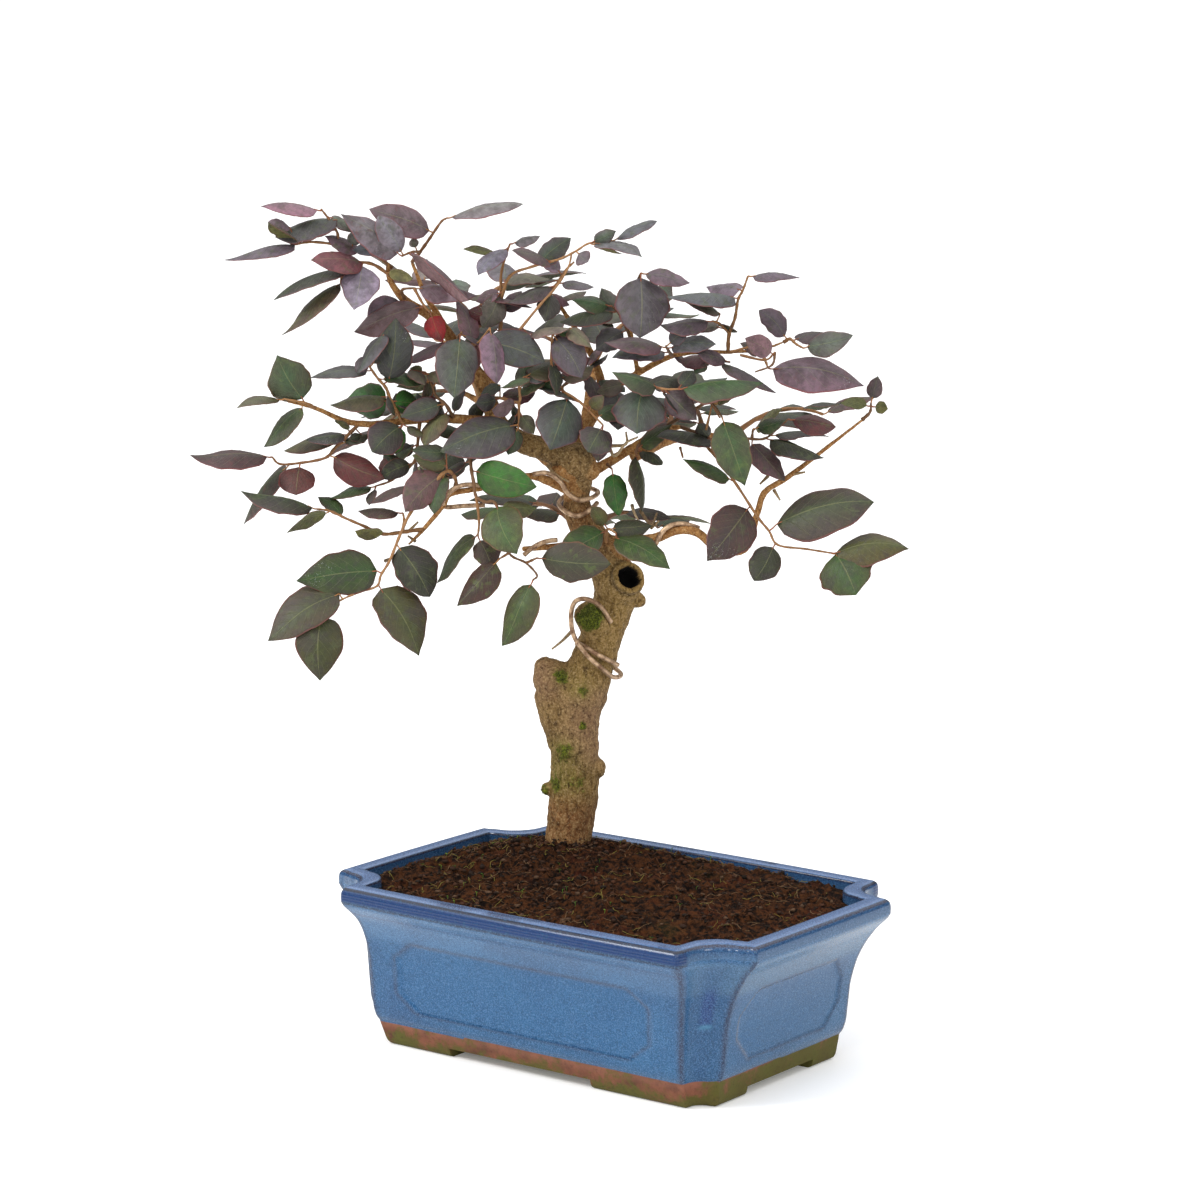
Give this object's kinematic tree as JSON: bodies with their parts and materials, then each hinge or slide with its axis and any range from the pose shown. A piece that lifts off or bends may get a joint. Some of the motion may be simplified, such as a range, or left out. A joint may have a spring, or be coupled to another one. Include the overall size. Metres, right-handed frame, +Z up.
{
  "type": "chinese fringe flower bonsai",
  "caption": "Potted chinese fringe flower bonsai: a knotted trunk with training wires and a leaning crown of leathery leaves, in a glazed oblong pot on feet.",
  "frame": {"origin": "on the ground, under the middle of the box round the whole tree and pot; the pot's own middle is at x 0.0486, y -0.0426", "axes": "+Z up the trunk, +X along the pot's long side, -Y towards the pot's front long side"},
  "size_m": [0.3618, 0.31, 0.4314],
  "materials": {
    "glaze": "gloss speckled blue glaze over brown clay",
    "screen_mesh": "dark plastic drainage screen",
    "soil": "rough damp fibrous peat",
    "bark": "rough mossy bark",
    "wire": "satin copper-coloured training wire",
    "leaf_slate": "leathery, satin, grey-green with purple",
    "leaf_green": "leathery, satin, dark green",
    "leaf_maroon": "leathery, satin, maroon",
    "leaf_hidden": "leathery, satin, olive green"
  },
  "bodies": {
    "root": {"pot": "glaze", "screen_left": "screen_mesh", "screen_right": "screen_mesh", "soil": "soil", "trunk": "bark", "wire_loop": "wire", "wire_upper": "wire", "wire_left": "wire", "wire_stub": "wire", "wire_right": "wire", "spray_tip_left": "leaf_slate", "spray_low_tip": "leaf_slate", "spray_crest": "leaf_maroon", "spray_inner_left": "leaf_maroon", "spray_shoulder": "leaf_slate", "spray_left_mid": "leaf_slate", "spray_gloss": "leaf_slate", "spray_middle": "leaf_slate", "spray_centre": "leaf_slate", "spray_blue": "leaf_slate", "spray_top": "leaf_slate", "spray_top_c": "leaf_slate", "spray_round": "leaf_slate", "spray_fork": "leaf_slate", "spray_right_twig": "leaf_slate", "spray_shelf": "leaf_slate", "spray_shelf_under": "leaf_slate", "spray_high_right": "leaf_slate", "spray_side_right": "leaf_maroon", "spray_far_right": "leaf_slate", "spray_right_inner": "leaf_slate", "spray_green_hang": "leaf_green", "spray_low_centre": "leaf_green", "spray_bright": "leaf_green", "spray_front_low": "leaf_green", "spray_left_hang": "leaf_green", "spray_low_left": "leaf_slate", "spray_left_maroon": "leaf_maroon", "spray_left_end": "leaf_green", "spray_left_wired": "leaf_slate", "spray_left_under": "leaf_slate", "back_a": "leaf_hidden", "back_b": "leaf_hidden", "back_c": "leaf_hidden", "back_d": "leaf_hidden", "back_e": "leaf_hidden", "back_f": "leaf_hidden", "back_g": "leaf_hidden", "back_h": "leaf_hidden", "back_i": "leaf_hidden", "back_j": "leaf_hidden", "back_k": "leaf_hidden", "back_l": "leaf_hidden"}
  },
  "joints": []
}
